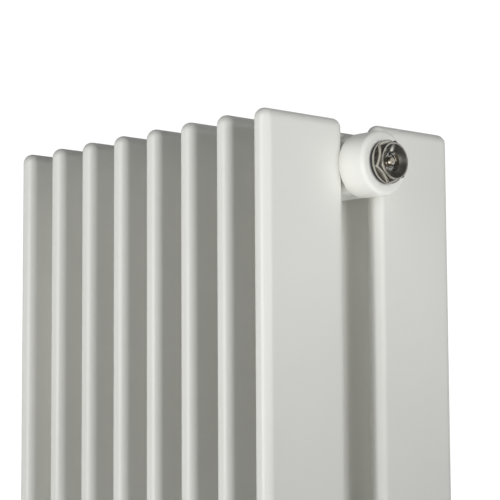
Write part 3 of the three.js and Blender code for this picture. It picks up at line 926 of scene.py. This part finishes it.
# Pale areas of the room: degrees from the front towards the right, degrees up, strength, and
# tightness, where 0 is everywhere. The second set is what gloss and polished metal mirror.
ROOM = (
    (0, -60, 1.2, 6),
    (180, -60, 2.0, 6),
    (270, -60, 1.4, 6),
    (200, 0, 1.0, 6),
    (225, 0, 1.0, 6),
    (250, 0, 0.7, 6),
)
MIRRORED = (
    (0, 0, 0.07, 0),
    (-60, 0, 1.2, 40),
    (20, 40, 0.4, 40),
    (40, 40, 0.3, 40),
    (75, 65, 0.2, 40),
    (40, -20, 1.0, 40),
    (47, -19, 2.6, 70),
    (60, 0, 0.5, 40),
    (60, -40, 1.2, 40),
    (75, -65, 0.9, 40),
    (100, 0, 0.6, 40),
    (120, 20, 0.4, 40),
    (120, -65, 1.4, 40),
    (137, 9, 0.75, 60),
    (147, -20, 1.5, 130),
    (200, -40, 1.5, 40),
    (210, -65, 1.4, 40),
    (220, 20, 0.9, 40),
)


def feed(links, value, socket):
    """Gives a socket a number, or what another node puts out."""
    if isinstance(value, (int, float)):
        socket.default_value = value
    else:
        links.new(value, socket)


def calculate(nodes, links, operation, first, second):
    node = nodes.new("ShaderNodeMath")
    node.operation = operation
    feed(links, first, node.inputs[0])
    feed(links, second, node.inputs[1])
    return node.outputs["Value"]


def room_light(nodes, links, areas):
    """The strength of the light that comes from each direction of the room."""
    place = nodes.new("ShaderNodeTexCoord")
    total = None
    for around, up, strength, tightness in areas:
        azimuth, elevation = math.radians(around), math.radians(up)
        toward = nodes.new("ShaderNodeVectorMath")
        toward.operation = "DOT_PRODUCT"
        toward.inputs[1].default_value = (
            math.sin(azimuth) * math.cos(elevation),
            -math.cos(azimuth) * math.cos(elevation),
            math.sin(elevation))
        links.new(place.outputs["Generated"], toward.inputs[0])
        value = calculate(nodes, links, "MAXIMUM", toward.outputs["Value"], 0)
        value = calculate(nodes, links, "POWER", value, tightness)
        value = calculate(nodes, links, "MULTIPLY", value, strength)
        total = calculate(nodes, links, "ADD", total, value) if total else value
    return total


def softbox(name, offset, back, width, power, shows):
    """A square light at the offset from LIT_POINT. back is the direction behind it."""
    data = bpy.data.lights.new(name, "AREA")
    data.shape = "SQUARE"
    data.size = width
    data.energy = power
    made = bpy.data.objects.new(name, data)
    bpy.context.scene.collection.objects.link(made)
    made.location = LIT_POINT + offset
    made.rotation_mode = "QUATERNION"
    made.rotation_quaternion = back.to_track_quat("Z", "Y")
    made.visible_camera = False
    made.visible_glossy = shows
    return data


def studio():
    """A white backdrop for the camera. The object stands between softboxes, in a dim room
    that is paler behind it and below, and that its gloss mirrors in patches."""
    scene = bpy.context.scene
    world = bpy.data.worlds.new("studio")
    scene.world = world
    world.use_nodes = True
    nodes, links = world.node_tree.nodes, world.node_tree.links
    nodes.clear()
    seen = nodes.new("ShaderNodeLightPath")
    shown = None
    for ray, strength in (
            (None, room_light(nodes, links, ROOM)),
            ("Is Glossy Ray", room_light(nodes, links, MIRRORED)),
            ("Is Camera Ray", BACKDROP)):
        light = nodes.new("ShaderNodeBackground")
        light.inputs["Color"].default_value = (1, 1, 1, 1)
        feed(links, strength, light.inputs["Strength"])
        if shown:
            choose = nodes.new("ShaderNodeMixShader")
            links.new(seen.outputs[ray], choose.inputs["Fac"])
            links.new(shown, choose.inputs[1])
            links.new(light.outputs["Background"], choose.inputs[2])
            shown = choose.outputs["Shader"]
        else:
            shown = light.outputs["Background"]
    output = nodes.new("ShaderNodeOutputWorld")
    links.new(shown, output.inputs["Surface"])

    for k, (offset, width, power, shows) in enumerate(SOFTBOXES):
        softbox(f"softbox_{k + 1}", Vector(offset), Vector(offset), width, power, shows)
    for k, offset in enumerate(LOW_SOFTBOXES):
        level = Vector((offset[0], offset[1], 0))
        name = f"low_softbox_{k + 1}"
        data = softbox(name, Vector(offset), level, LOW_WIDTH, LOW_POWER, False)
        data.spread = LOW_SPREAD
    scene.view_settings.view_transform = "Standard"


FLOOR_R = 3.2
FLOOR_Z = -0.5 * MM         # just below the tubes' ends
FLOOR_GLOW = 0.5


def floor():
    """A round pale floor. It takes shadows, glows a little, and sends no light back."""
    steps = 96
    rings = []
    for share in (0.02, 0.3, 0.7, 1.0):
        ring = [
            Vector((FLOOR_R * share * math.cos(2 * math.pi * k / steps),
                    FLOOR_R * share * math.sin(2 * math.pi * k / steps), FLOOR_Z))
            for k in range(steps)]
        rings.append(ring)
    vertices, faces = loft(rings)
    made = new_object("floor", vertices, faces[:-1])
    s = Surface("floor_paper", (0.86, 0.86, 0.85), 0.8)
    s.colours(s.noise(6, detail=3), [(0.3, (0.84, 0.84, 0.83)), (0.7, (0.88, 0.88, 0.87))])
    s.bump(s.noise(700, detail=3), 0.1 * MM, 0.3)
    s.shader.inputs["Emission Color"].default_value = (1, 1, 1, 1)
    s.shader.inputs["Emission Strength"].default_value = FLOOR_GLOW
    made.data.materials.append(s.material)
    made.visible_diffuse = False
    made.visible_glossy = False
    made.visible_shadow = False


# ---- The object -----------------------------------------------------------------------------

tubes()
for header_level in ("top", "bottom"):
    header(header_level)
    welds(header_level)
    for end_side in END_SIDES:
        boss(header_level, end_side)
vent_body()
o_ring("vent_o_ring", 1)
bleed_screw()
blank_plug()
o_ring("blank_plug_o_ring", -1)
for clamp_level in ("upper", "lower"):
    for clamp_side in ("left", "right"):
        clamp(f"{clamp_level}_{clamp_side}")
for hidden, finish in (("flow_baffle", STEEL), ("bleed_seal", RUBBER)):
    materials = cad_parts[hidden].data.materials
    materials.clear()
    materials.append(finish)

camera()
studio()
floor()
